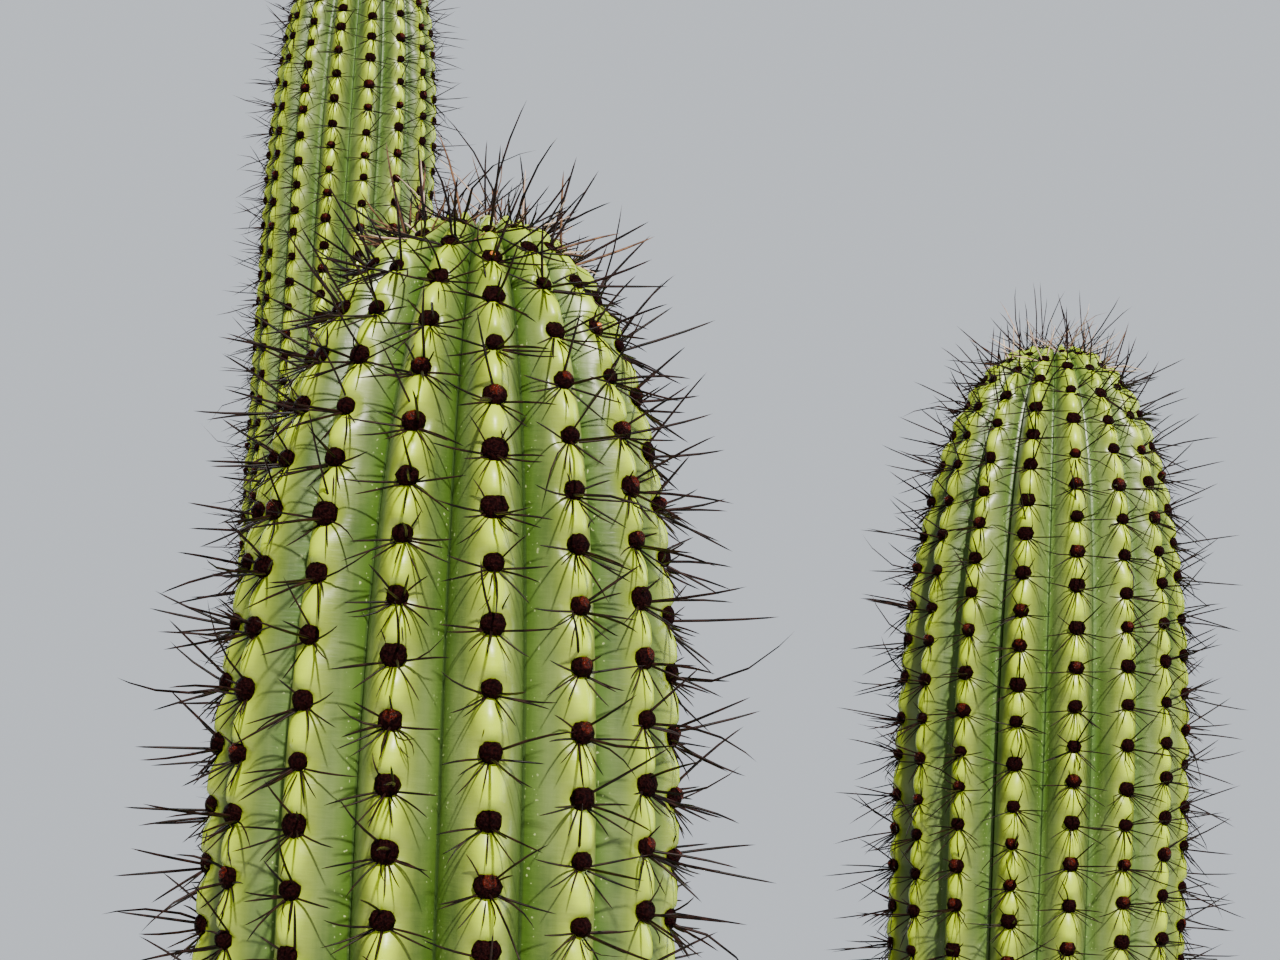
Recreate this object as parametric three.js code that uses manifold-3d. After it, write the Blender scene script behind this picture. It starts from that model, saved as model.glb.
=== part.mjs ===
// Organ pipe cactus: a clump of ribbed arms that rise from one short woody trunk.
// Millimetres, +Z up. The origin is the middle of the trunk's flat cut at ground level,
// and -Y is the front, the side from which the front arm is nearest.
import * as THREE from "three";
import { mergeVertices } from "three/addons/utils/BufferGeometryUtils.js";
import Module from "manifold-3d";

const wasm = await Module();
wasm.setup();

// Ribs and tip of an arm. The shares are of the arm's crest radius.
const VALLEY_SHARE = 0.83; // radius at the bottom of the grooves between the ribs
const TIP_LENGTH = 250; // the stretch over which the tip rounds in from the full radius
const TIP_POWER = 2.5; // 2 would make the tip half an ellipse; more makes it blunter
const TIP_ROWS = [0.008, 0.04, 0.12, 0.28, 0.55, 1]; // rings down the tip, as shares of TIP_LENGTH
const CROWN_DIP = 5; // how far the growing point is sunk between the rib ends
const SEASON_LENGTH = 430; // one season's growth on the shaft, from waist to waist
const WAIST_SHARE = 0.035; // how much narrower the arm is at a waist

// Feet of the arms: the long bend that takes an arm from the trunk to upright.
const ROOT_SHARE = 0.6; // an arm is this much of its crest radius where it leaves the trunk
const SWELL_END = 0.8; // share of the foot after which the arm has its full radius
const FOOT_ROWS = 7;
const LAUNCH_SHARE = 0.45; // how far the foot keeps its first direction, of its span
const ARRIVAL_SHARE = 0.42; // how far it keeps its last direction, of its span
const BEND_HEIGHT = 330; // height of a column's foot on an arm over the trunk itself
const BEND_SLOPE = 0.42; // and how much higher it is for each millimetre of the arm's reach
// The arms that reach less than this rise from the top of the trunk, and the others spread from its
// side, below them. A foot's axis starts inside the trunk, at a share of the arm's reach but no further
// than the most given here, and it sets off at so many degrees above level.
const INNER_REACH = 400;
const INNER_ROOT = { share: 0.4, most: 110, height: 178, rise: 80 };
const OUTER_ROOT = { share: 0.4, most: 118, height: 92, rise: 17 };

// The trunk: radius and height from the root flare to the shoulder.
const TRUNK_PROFILE = [
  [222, 0],
  [202, 26],
  [188, 80],
  [184, 140],
  [172, 195],
  [142, 236],
  [78, 258],
];
const TRUNK_TOP = 262;
const TRUNK_SIDES = 36;
const LOBES = 9; // swellings round the trunk, under the outer arms
const LOBE_SHARE = 0.05;
const BULGES = 4; // broader ones, half as deep
const BULGE_TURN = 1;

const GAP = 0.3; // clearance between pieces that meet

// Each arm: where its tip stands, as a bearing in degrees from +X towards +Y and a reach from the
// trunk's axis; the tip's height, the crest radius and the number of ribs; how far the column's foot is
// from under the tip, towards the trunk (lean) and to the right of it, seen from the trunk (sway).
const ARMS = [
  { name: "front", bearing: -90, reach: 550, top: 1700, crest: 76, ribs: 15, lean: 36, sway: 0 },
  { name: "inner_right", bearing: -7, reach: 270, top: 1770, crest: 75, ribs: 16, lean: 12, sway: 0 },
  { name: "tall", bearing: 105.5, reach: 677, top: 2225, crest: 66, ribs: 15, lean: 70, sway: 0 },
  { name: "centre", bearing: -160, reach: 48, top: 1600, crest: 70, ribs: 14, lean: 4, sway: 10 },
  { name: "inner_left", bearing: -124, reach: 345, top: 1120, crest: 70, ribs: 14, lean: 28, sway: 14 },
  { name: "right_front", bearing: -40, reach: 520, top: 1290, crest: 74, ribs: 15, lean: 46, sway: 16 },
  { name: "right", bearing: 3, reach: 650, top: 1830, crest: 77, ribs: 15, lean: 84, sway: 20 },
  { name: "right_back", bearing: 38, reach: 790, top: 1480, crest: 73, ribs: 14, lean: 78, sway: -24 },
  { name: "back", bearing: 71, reach: 540, top: 1140, crest: 70, ribs: 14, lean: 44, sway: 10 },
  { name: "left_back", bearing: 141, reach: 705, top: 1900, crest: 76, ribs: 15, lean: 88, sway: 22 },
  { name: "left", bearing: 177, reach: 640, top: 1660, crest: 75, ribs: 14, lean: 66, sway: -14 },
  { name: "left_front", bearing: -147, reach: 520, top: 1400, crest: 74, ribs: 14, lean: 52, sway: 8 },
];

const skin = new THREE.MeshStandardMaterial({ color: 0x7d9b4a, roughness: 0.5, metalness: 0 });
const bark = new THREE.MeshStandardMaterial({ color: 0x7a6650, roughness: 0.9, metalness: 0 });

const radians = THREE.MathUtils.degToRad;
const lerp = THREE.MathUtils.lerp;
const smoothstep = THREE.MathUtils.smoothstep;

// The foot and column curves of an arm. They run on from one to the other, and the tip is upright.
function axisOf(arm) {
  const bearing = radians(arm.bearing);
  const out = new THREE.Vector3(Math.cos(bearing), Math.sin(bearing), 0);
  const side = new THREE.Vector3(-out.y, out.x, 0);
  const at = (reach, height) => out.clone().multiplyScalar(reach).setZ(height);

  const from = arm.reach < INNER_REACH ? INNER_ROOT : OUTER_ROOT;
  const root = at(Math.min(from.share * arm.reach, from.most), from.height);
  const bend = at(arm.reach - arm.lean, BEND_HEIGHT + BEND_SLOPE * arm.reach);
  bend.addScaledVector(side, -arm.sway);
  const tip = at(arm.reach, arm.top);

  const underTip = tip.clone().setZ((bend.z + tip.z) / 2);
  const column = new THREE.QuadraticBezierCurve3(bend, underTip, tip);

  const rise = radians(from.rise);
  const span = root.distanceTo(bend);
  const launch = out.clone().multiplyScalar(Math.cos(rise)).setZ(Math.sin(rise));
  const arrival = underTip.clone().sub(bend).normalize();
  const foot = new THREE.CubicBezierCurve3(
    root,
    root.clone().addScaledVector(launch, LAUNCH_SHARE * span),
    bend.clone().addScaledVector(arrival, -ARRIVAL_SHARE * span),
    bend,
  );
  return { foot, column, side };
}

// One ring of a ribbed arm: valley, crest, valley, crest, round the axis at a curve's parameter u.
function ring(curve, side, u, crest, ribs) {
  const centre = curve.getPointAt(u);
  const along = curve.getTangentAt(u);
  const outward = side.clone().cross(along).normalize();
  const across = along.clone().cross(outward);
  const points = [];
  for (let i = 0; i < 2 * ribs; i++) {
    const turn = (Math.PI * i) / ribs;
    const radius = i % 2 ? crest : crest * VALLEY_SHARE;
    points.push(
      centre
        .clone()
        .addScaledVector(outward, radius * Math.cos(turn))
        .addScaledVector(across, radius * Math.sin(turn)),
    );
  }
  return points;
}

// A closed skin over a stack of rings, with a middle point on each end.
function loft(rings, firstMiddle, lastMiddle) {
  const sides = rings[0].length;
  const points = [firstMiddle, ...rings.flat(), lastMiddle];
  const last = points.length - 1;
  const faces = [];
  for (let i = 0; i < sides; i++) {
    const next = (i + 1) % sides;
    faces.push(0, 1 + next, 1 + i);
    for (let row = 0; row < rings.length - 1; row++) {
      const low = 1 + row * sides;
      const high = low + sides;
      faces.push(low + i, low + next, high + next);
      faces.push(low + i, high + next, high + i);
    }
    const top = 1 + (rings.length - 1) * sides;
    faces.push(top + i, top + next, last);
  }
  const geometry = new THREE.BufferGeometry().setFromPoints(points);
  geometry.setIndex(faces);
  return geometry;
}

// Radius of the rib crests at a distance below the tip, as a share of the full radius.
function tipShare(distance) {
  const left = 1 - Math.min(distance / TIP_LENGTH, 1);
  return (1 - left ** TIP_POWER) ** (1 / TIP_POWER);
}

function columnGeometry(arm, { column, side }) {
  const length = column.getLength();
  const shaft = length - TIP_LENGTH;
  const seasons = Math.max(1, Math.round(shaft / SEASON_LENGTH));
  const stops = [];
  for (let i = 0; i < 2 * seasons; i++) {
    const atWaist = i > 0 && i % 2 === 0;
    stops.push([(shaft * i) / (2 * seasons), atWaist ? 1 - WAIST_SHARE : 1]);
  }
  for (const share of [...TIP_ROWS].reverse()) {
    stops.push([length - share * TIP_LENGTH, tipShare(share * TIP_LENGTH)]);
  }
  const rings = stops.map(([along, share]) => {
    return ring(column, side, along / length, arm.crest * share, arm.ribs);
  });
  const start = column.getPointAt(0);
  const crown = column.getPointAt(1 - (TIP_ROWS[0] * TIP_LENGTH + CROWN_DIP) / length);
  return loft(rings, start, crown);
}

function footGeometry(arm, { foot, side }) {
  const end = 1 - GAP / foot.getLength();
  const rings = [];
  for (let row = 0; row <= FOOT_ROWS; row++) {
    const u = (end * row) / FOOT_ROWS;
    const crest = arm.crest * lerp(ROOT_SHARE, 1, smoothstep(u, 0, SWELL_END));
    rings.push(ring(foot, side, u, crest, arm.ribs));
  }
  return loft(rings, foot.getPointAt(0), foot.getPointAt(end));
}

// The trunk, or the trunk grown by a clearance all round.
function trunkGeometry(grow) {
  const profile = TRUNK_PROFILE.map(([radius, height]) => new THREE.Vector2(radius + grow, height + grow));
  profile[0].y = -grow;
  profile.unshift(new THREE.Vector2(0, -grow));
  profile.push(new THREE.Vector2(0, TRUNK_TOP + grow));
  const geometry = new THREE.LatheGeometry(profile, TRUNK_SIDES);
  geometry.rotateX(Math.PI / 2);
  const place = geometry.getAttribute("position");
  for (let i = 0; i < place.count; i++) {
    const turn = Math.atan2(place.getY(i), place.getX(i));
    const bulge = Math.cos(BULGES * turn + BULGE_TURN) / 2;
    const swell = 1 + LOBE_SHARE * (Math.cos(LOBES * turn) + bulge);
    place.setXY(i, place.getX(i) * swell, place.getY(i) * swell);
  }
  return geometry;
}

function solidOf(geometry) {
  const bare = new THREE.BufferGeometry().setAttribute("position", geometry.getAttribute("position"));
  bare.setIndex(geometry.getIndex());
  const merged = mergeVertices(bare, 1e-3);
  return new wasm.Manifold(
    new wasm.Mesh({
      numProp: 3,
      vertProperties: merged.getAttribute("position").array,
      triVerts: new Uint32Array(merged.getIndex().array),
    }),
  );
}

function geometryOf(solid) {
  const { vertProperties, triVerts } = solid.getMesh();
  const geometry = new THREE.BufferGeometry();
  geometry.setAttribute("position", new THREE.BufferAttribute(vertProperties, 3));
  geometry.setIndex(new THREE.BufferAttribute(triVerts, 1));
  return geometry;
}

function named(name, geometry, material) {
  const mesh = new THREE.Mesh(geometry, material);
  mesh.geometry.computeVertexNormals();
  mesh.name = name;
  return mesh;
}

const cactus = new THREE.Group();
cactus.add(named("trunk", geometryOf(solidOf(trunkGeometry(0))), bark));
const trunkAndClearance = solidOf(trunkGeometry(GAP));
for (const arm of ARMS) {
  const axis = axisOf(arm);
  const foot = solidOf(footGeometry(arm, axis)).subtract(trunkAndClearance);
  cactus.add(named(`${arm.name}_arm_foot`, geometryOf(foot), skin));
  cactus.add(named(`${arm.name}_arm_column`, columnGeometry(arm, axis), skin));
}

export default cactus;
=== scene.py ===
# %% [markdown]
# # An organ pipe cactus
# The real plant is a clump: a dozen ribbed columns bend up from one short, woody trunk and then grow
# straight. Every rib carries a row of round felt pads, and every pad a fan of dark spines. The packed
# model gives the frame, with a plain foot and column for each arm. This script grows the living skin,
# the pads, the spines and the bark over it, from the same sizes, so that nothing has to be fitted.

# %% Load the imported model
import collections
import math

import bpy
import numpy as np
from mathutils import Matrix, Vector, noise


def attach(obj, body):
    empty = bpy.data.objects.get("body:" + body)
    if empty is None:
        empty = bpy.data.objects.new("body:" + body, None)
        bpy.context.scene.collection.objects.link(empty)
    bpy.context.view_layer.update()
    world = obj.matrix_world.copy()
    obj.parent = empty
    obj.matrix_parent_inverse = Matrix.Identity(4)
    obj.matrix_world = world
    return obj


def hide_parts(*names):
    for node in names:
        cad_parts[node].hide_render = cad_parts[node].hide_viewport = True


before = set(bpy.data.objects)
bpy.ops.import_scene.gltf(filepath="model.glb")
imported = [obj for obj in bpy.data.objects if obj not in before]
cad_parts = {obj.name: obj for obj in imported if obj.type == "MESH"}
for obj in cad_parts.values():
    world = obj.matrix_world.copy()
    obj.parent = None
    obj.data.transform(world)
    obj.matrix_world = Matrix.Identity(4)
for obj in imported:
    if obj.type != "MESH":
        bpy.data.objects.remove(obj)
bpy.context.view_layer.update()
print("nodes in the frame:", len(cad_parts))

# %% [markdown]
# ## The camera
# The photograph looks a little upward at the end of the nearest stem, with the camera tipped so that
# upright stems lean to the right. The lens is worked out from the stem: a column 152 mm across fills
# 484 of the picture's 1280 pixels at a depth of 0.86 m. It comes first because it decides where detail
# is needed.

# %% Place the camera
CAMERA_PLACE = Vector((0.0570, -1.4296, 1.4920))
LOOK_UP = math.radians(8)
ROLL = math.radians(3)  # tips the camera to its left, so that upright stems lean right
SENSOR_WIDTH = 36.0
LENS = 77.0
NEAREST_SEEN = 0.05


def add_object(name, data):
    """An object of that name in the scene."""
    made = bpy.data.objects.new(name, data)
    bpy.context.collection.objects.link(made)
    return made


ahead = Vector((0, math.cos(LOOK_UP), math.sin(LOOK_UP)))
level_right = Vector((1, 0, 0))
level_up = level_right.cross(ahead)
right = level_right * math.cos(ROLL) + level_up * math.sin(ROLL)
up = level_up * math.cos(ROLL) - level_right * math.sin(ROLL)

camera_data = bpy.data.cameras.new("photo_camera")
camera_data.sensor_width = SENSOR_WIDTH
camera_data.lens = LENS
camera_data.clip_start = NEAREST_SEEN
camera = add_object("photo_camera", camera_data)
turn = Matrix((right, up, -ahead)).transposed().to_4x4()
camera.matrix_world = Matrix.Translation(CAMERA_PLACE) @ turn
bpy.context.scene.camera = camera
print("camera", tuple(round(value, 3) for value in CAMERA_PLACE), "lens", LENS)

# %% [markdown]
# ## The arms' sizes
# These are the frame's own numbers, in metres: where each tip stands, how thick the arm is at its rib
# crests, how many ribs it has, and how far its column leans in from under the tip.

# %% Name the sizes
Arm = collections.namedtuple("Arm", "name bearing reach top crest ribs lean sway")
ARMS = [
    Arm("front", -90, 0.550, 1.700, 0.076, 15, 0.036, 0),
    Arm("inner_right", -7, 0.270, 1.770, 0.075, 16, 0.012, 0),
    Arm("tall", 105.5, 0.677, 2.225, 0.066, 15, 0.070, 0),
    Arm("centre", -160, 0.048, 1.600, 0.070, 14, 0.004, 0.010),
    Arm("inner_left", -124, 0.345, 1.120, 0.070, 14, 0.028, 0.014),
    Arm("right_front", -40, 0.520, 1.290, 0.074, 15, 0.046, 0.016),
    Arm("right", 3, 0.650, 1.830, 0.077, 15, 0.084, 0.020),
    Arm("right_back", 38, 0.790, 1.480, 0.073, 14, 0.078, -0.024),
    Arm("back", 71, 0.540, 1.140, 0.070, 14, 0.044, 0.010),
    Arm("left_back", 141, 0.705, 1.900, 0.076, 15, 0.088, 0.022),
    Arm("left", 177, 0.640, 1.660, 0.075, 14, 0.066, -0.014),
    Arm("left_front", -147, 0.520, 1.400, 0.074, 14, 0.052, 0.008),
]
INNER_REACH = 0.400  # arms that reach less rise from the top of the trunk
Root = collections.namedtuple("Root", "share most height rise")
INNER_ROOT = Root(0.4, 0.110, 0.178, math.radians(80))
OUTER_ROOT = Root(0.4, 0.118, 0.092, math.radians(17))
BEND_HEIGHT, BEND_SLOPE = 0.330, 0.42  # height of a column's foot, and how much more for its reach
LAUNCH_SHARE, ARRIVAL_SHARE = 0.45, 0.42  # how far a foot keeps its first and last direction, of its span
ROOT_SHARE, SWELL_END = 0.6, 0.8  # thickness at the root, and where along the foot it is full
TIP_LENGTH, TIP_POWER = 0.250, 2.5  # a power of 2 would make the tip half an ellipse
SEASON_LENGTH, WAIST_SHARE = 0.430, 0.035
print("arms:", len(ARMS), "ribs:", sum(arm.ribs for arm in ARMS))

# %% [markdown]
# ## The middle line of an arm
# A foot is a cubic curve and a column a quadratic one, end to end. Blender's own curve objects could
# draw them, but the skin needs to ask for any point by its distance below the tip, so the line is kept
# as a fine list of points with the distance gone at each. A point of the line comes with three
# directions: along the arm, out from the trunk, and across.

# %% Read an arm's line by the distance below its tip
LINE_STEPS = 400
AIM_STEP = 0.004  # half the stretch over which the direction along an arm is taken


def unit(vectors):
    return vectors / np.linalg.norm(vectors, axis=-1, keepdims=True)


def swing(first, second, angle):
    """Directions turned by an angle from the first one towards the second."""
    return first * np.cos(angle)[..., None] + second * np.sin(angle)[..., None]


def bezier(controls, steps):
    """Points of a Bezier curve, by repeated mixing of its control points."""
    t = np.linspace(0, 1, steps)[:, None]
    layers = [np.repeat(np.array([point], float), steps, 0) for point in controls]
    while len(layers) > 1:
        layers = [first * (1 - t) + second * t for first, second in zip(layers, layers[1:])]
    return layers[0]


class Line:
    def __init__(self, arm):
        bearing = math.radians(arm.bearing)
        out = np.array([math.cos(bearing), math.sin(bearing), 0])
        self.side = np.array([-out[1], out[0], 0])
        lift = np.array([0, 0, 1.0])
        start = INNER_ROOT if arm.reach < INNER_REACH else OUTER_ROOT
        root = out * min(start.share * arm.reach, start.most) + lift * start.height
        bend = out * (arm.reach - arm.lean) - self.side * arm.sway
        bend = bend + lift * (BEND_HEIGHT + BEND_SLOPE * arm.reach)
        tip = out * arm.reach + lift * arm.top
        under_tip = np.array([tip[0], tip[1], (bend[2] + tip[2]) / 2])
        span = np.linalg.norm(bend - root)
        launch = out * math.cos(start.rise) + lift * math.sin(start.rise)
        arrival = unit(under_tip - bend)
        leave = root + launch * LAUNCH_SHARE * span
        arrive = bend - arrival * ARRIVAL_SHARE * span
        foot = bezier([root, leave, arrive, bend], LINE_STEPS)
        column = bezier([bend, under_tip, tip], LINE_STEPS)
        self.points = np.concatenate([foot, column[1:]])
        steps = np.linalg.norm(np.diff(self.points, axis=0), axis=1)
        self.gone = np.concatenate([[0], np.cumsum(steps)])
        self.length = self.gone[-1]
        self.foot_length = self.gone[LINE_STEPS - 1]

    def point(self, below):
        gone = self.length - np.asarray(below)
        return np.stack([np.interp(gone, self.gone, self.points[:, axis]) for axis in range(3)], -1)

    def directions(self, below):
        """Along, outward and across, at distances below the tip."""
        middle = np.clip(below, AIM_STEP, self.length - AIM_STEP)
        along = unit(self.point(middle - AIM_STEP) - self.point(middle + AIM_STEP))
        outward = unit(np.cross(self.side, along))
        return along, outward, np.cross(along, outward)


LINES = {arm.name: Line(arm) for arm in ARMS}
print("arm lengths:", {name: round(line.length, 2) for name, line in LINES.items()})

# %% [markdown]
# ## The outline of an arm
# Seen from the side, an arm is a long barrel: a sunken growing point, a blunt tip that takes 250 mm to
# reach its full width, faint waists where one season's growth ended, and a thinner foot. All distances
# on the plant are counted along this outline, from the growing point down, because the pads are spaced
# evenly along the skin and not in height.

# %% Trace the outline from the growing point to the root
CROWN_DEPTH = 0.007  # how far the growing point lies below the tip's full height
RIM_DEPTH = 0.002
DIP_POINTS, OUTLINE_POINTS = 24, 3000
CROWDING = 1.5  # above 1, the outline's points crowd towards the tip, where it bends most
SLOPE_STEP = 0.0012  # half the stretch over which the outline's direction is taken


def smooth_ramp(value, low, high):
    share = np.clip((value - low) / (high - low), 0, 1)
    return share * share * (3 - 2 * share)


def tip_share(below):
    left = 1 - np.clip(below / TIP_LENGTH, 0, 1)
    return (1 - left**TIP_POWER) ** (1 / TIP_POWER)


class Outline:
    def __init__(self, arm, line):
        shaft = line.length - line.foot_length - TIP_LENGTH
        season = shaft / max(1, round(shaft / SEASON_LENGTH))
        shares = np.linspace(0, 1, OUTLINE_POINTS) ** CROWDING
        below = RIM_DEPTH + (line.length - RIM_DEPTH) * shares
        height = line.length - line.foot_length - below  # over the foot of the column
        # Squared, a waist is shorter than the swelling above and below it.
        waist = ((1 + np.cos(2 * math.pi * height / season)) / 2) ** 2
        waist *= (height > season / 2) & (height < shaft - season / 2)
        swell = smooth_ramp(1 + height / line.foot_length, 0, SWELL_END)
        foot = np.where(height < 0, ROOT_SHARE + (1 - ROOT_SHARE) * swell, 1)
        radius = arm.crest * tip_share(below) * (1 - WAIST_SHARE * waist) * foot
        dip = np.linspace(0, 1, DIP_POINTS, endpoint=False)
        dip_below = CROWN_DEPTH - (CROWN_DEPTH - RIM_DEPTH) * dip**2 * (2 - dip)
        self.below = np.concatenate([dip_below, below])
        self.radius = np.concatenate([radius[0] * dip, radius])
        steps = np.hypot(np.diff(self.below), np.diff(self.radius))
        self.gone = np.concatenate([[0], np.cumsum(steps)])
        self.length = self.gone[-1]

    def at(self, gone):
        """Depth below the tip, radius, and the outline's outward direction (outward, upward)."""
        below = np.interp(gone, self.gone, self.below)
        radius = np.interp(gone, self.gone, self.radius)
        low = np.clip(gone - SLOPE_STEP, 0, None)
        high = np.clip(gone + SLOPE_STEP, None, self.length)
        fall = np.interp(high, self.gone, self.below) - np.interp(low, self.gone, self.below)
        spread = np.interp(high, self.gone, self.radius) - np.interp(low, self.gone, self.radius)
        size = np.hypot(fall, spread)
        return below, radius, fall / size, spread / size


OUTLINES = {arm.name: Outline(arm, LINES[arm.name]) for arm in ARMS}
print("front arm, skin length from crown to root:", round(OUTLINES["front"].length, 3))

# %% [markdown]
# ## Where the pads sit
# Pads are 18 mm apart on the young tip, 19 mm further down, and crowded round the growing point where
# new ones form. Neighbouring ribs are out of step, and no row is quite regular. One rising number per
# rib says all this: each time it passes a whole number there is a pad, and its fraction says how far
# the skin is between two pads. The ribs of the nearest arm also turn a little as they go down.

# %% Count the pads along a rib
YOUNG_PITCH, GROWN_PITCH = 0.0178, 0.0191
PITCH_CHANGE = 0.150
CROWDED, CROWD_LENGTH = 2.2, 0.009
WAVES = [(0.06, 55), (0.04, 131)]  # how far pads stray, as a share of the pitch, and how fast that changes
# The front arm's ribs begin a little to the left and turn this far round over the stretch below the tip.
TWIST_START, TWIST, TWIST_LENGTH = math.radians(1.3), math.radians(8.4), 0.5
seeds = np.random.default_rng(11)
RIB_STARTS = {arm.name: seeds.random(arm.ribs) for arm in ARMS}
RIB_WAVES = {arm.name: seeds.uniform(0, 2 * math.pi, (arm.ribs, len(WAVES))) for arm in ARMS}
# The six ribs of the front arm that face the camera start where the real ones do.
RIB_STARTS["front"][[12, 13, 14, 0, 1, 2]] = 0.35, 0.21, 0.90, 0.47, 0.90, 0.18
UNEVEN = {arm.name: 1.0 for arm in ARMS} | {"front": 0.4}  # and its rows are more regular


def pad_count(arm, rib, gone):
    """A number that rises by one from pad to pad, on ribs by their index, at distances down the skin."""
    young = np.minimum(gone, PITCH_CHANGE) / YOUNG_PITCH
    grown = np.maximum(gone - PITCH_CHANGE, 0) / GROWN_PITCH
    crowd = CROWDED * np.exp(-gone / CROWD_LENGTH)
    starts = RIB_WAVES[arm.name][rib]
    uneven = sum(far * np.sin(gone * fast + starts[..., i]) for i, (far, fast) in enumerate(WAVES))
    return young + grown - crowd + uneven * UNEVEN[arm.name] + RIB_STARTS[arm.name][rib]


def rib_angle(arm, ribs, gone):
    """The angle round the arm, where whole numbers of ribs are crests."""
    angle = 2 * math.pi * (ribs + 0.5) / arm.ribs
    if arm.name == "front":
        angle = angle + TWIST * smooth_ramp(gone, 0, TWIST_LENGTH) - TWIST_START
    return angle


front_pads = pad_count(ARMS[0], 0, np.array([0, OUTLINES["front"].length]))
print("pads on a rib of the front arm:", int(np.ptp(front_pads)))

# %% [markdown]
# ## The skin's relief
# Across a rib the skin falls from a rounded crest to a groove that ends in a thin dark slit. Along the
# crest it swells between the pads like a row of beads. A bead is narrow just under its pad, widens
# downwards and ends in a little overhang over the next pad. The relief could be a displacement
# texture, but the outline against the light shows it, so it is real shape: each point of the skin is
# pushed in from the outline by an amount worked out here.

# %% Work out how deep a point of the skin lies
GROOVE_SHARE, GROOVE_POWER = 0.18, 1.7
GROOVE_TIP_POWER = 0.75  # below 1, so that grooves stay deep for longer where the tip rounds in
SLIT_START, SLIT_DEPTH = 0.967, 0.0020
BEAD_RISE, BEAD_FALL = (0.0, 0.55), (0.76, 0.985)  # as shares of the way from one pad to the next
TONE_RISE, TONE_FALL = (0.0, 0.38), (0.50, 0.96)
# A notch between two beads has its full depth out to the flat's share of the way to the groove, and none
# past the edge's. The shoulder is how far a bead stands over the flank, and half the share over which
# it falls.
NOTCH_DEPTH, NOTCH_FLAT, NOTCH_EDGE = 0.0028, 0.10, 0.52
NARROWEST, WIDENING = 0.12, 0.17  # half a bead's width, of the way from crest to groove
SHOULDER_DEPTH, SHOULDER_HALF = 0.0008, 0.12
FULL_RELIEF = 0.02  # the radius from which slits and beads have their full depth
ALL_CORK, NO_CORK = 0.10, 0.46  # distances up from the root
GROOVES_LOST, BEADS_LOST = 0.45, 0.7  # how much of their depth is gone where the skin is all cork


def swelling(count, rise, fall):
    """0 at a pad, 1 from the end of the rise to the start of the fall, and 0 again before the next pad."""
    part = count % 1
    return smooth_ramp(part, *rise) * (1 - smooth_ramp(part, *fall))


def bead_tone(count):
    """Where the skin is yellowest: 1 a little above half way between two pads, and 0 at the pads, where the
    crest's olive is partly painted shade.
    """
    return swelling(count, TONE_RISE, TONE_FALL)


def oldness(arm, gone):
    return 1 - smooth_ramp(OUTLINES[arm.name].length - gone, ALL_CORK, NO_CORK)


def skin_depth(arm, across, gone, radius, count):
    """across is 0 on the crest and 1 in the groove."""
    old = oldness(arm, gone)
    groove = across**GROOVE_POWER * GROOVE_SHARE * arm.crest
    groove = groove * (radius / arm.crest) ** GROOVE_TIP_POWER * (1 - GROOVES_LOST * old)
    slit = SLIT_DEPTH * smooth_ramp(across, SLIT_START, 1)
    notch = NOTCH_DEPTH * (1 - swelling(count, BEAD_RISE, BEAD_FALL))
    notch = notch * (1 - smooth_ramp(across, NOTCH_FLAT, NOTCH_EDGE))
    width = NARROWEST + WIDENING * bead_tone(count)
    shoulder = SHOULDER_DEPTH * smooth_ramp(across, width - SHOULDER_HALF, width + SHOULDER_HALF)
    beads = (notch + shoulder) * (1 - BEADS_LOST * old)
    return groove + (slit + beads) * np.clip(radius / FULL_RELIEF, 0, 1)


def skin_points(arm, rib, offset, gone):
    """Points on the skin. offset is -1 in the groove before a rib's crest and 1 in the groove after it."""
    line = LINES[arm.name]
    below, radius, outward_part, upward_part = OUTLINES[arm.name].at(gone)
    count = pad_count(arm, rib, gone)
    depth = skin_depth(arm, np.abs(offset), gone, radius, count)
    along, outward, across = line.directions(below)
    ray = swing(outward, across, rib_angle(arm, rib + offset / 2, gone))
    reach = (radius - depth * outward_part)[..., None]
    return line.point(below) + ray * reach - along * (depth * upward_part)[..., None], count


print("deepest groove:", round(GROOVE_SHARE * max(arm.crest for arm in ARMS) + SLIT_DEPTH, 4))

# %% [markdown]
# ## Meshes from arrays
# A skin has tens of thousands of faces and there are tens of thousands of spines, far too many for
# one call per face. Blender takes whole arrays at once, which is quick and gives the same mesh each run.

# %% Make a piece from arrays of points and faces
def new_piece(name, points, faces, material, slot, values=None):
    """faces is a list of arrays, each with one number of corners; values are numbers kept per point."""
    corners = np.concatenate([part.ravel() for part in faces]).astype(np.int32)
    sizes = np.concatenate([np.full(len(part), part.shape[1]) for part in faces])
    mesh = bpy.data.meshes.new(name)
    mesh.vertices.add(len(points))
    mesh.vertices.foreach_set("co", points.astype(np.float32).ravel())
    mesh.loops.add(len(corners))
    mesh.loops.foreach_set("vertex_index", corners)
    mesh.polygons.add(len(sizes))
    mesh.polygons.foreach_set("loop_start", (np.cumsum(sizes) - sizes).astype(np.int32))
    mesh.update(calc_edges=True)
    mesh.polygons.foreach_set("use_smooth", np.ones(len(sizes), bool))
    for key, numbers in (values or {}).items():
        field = mesh.attributes.new(key, "FLOAT", "POINT")
        field.data.foreach_set("value", numbers.astype(np.float32).ravel())
    mesh.materials.append(material)
    piece = add_object(name, mesh)
    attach(piece, "root")
    print(f"{name}: {int((sizes - 2).sum())} triangles")
    return piece


# %% [markdown]
# ## Shader maths as Python
# A material is a tree of nodes joined by wires. Written out node by node it is long and hard to read,
# so a small class stands for one wire: arithmetic on it adds Math nodes, a blend adds a Mix node, and
# any other node comes from one method. A second class keeps a material's patterns and looks together.

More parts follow.
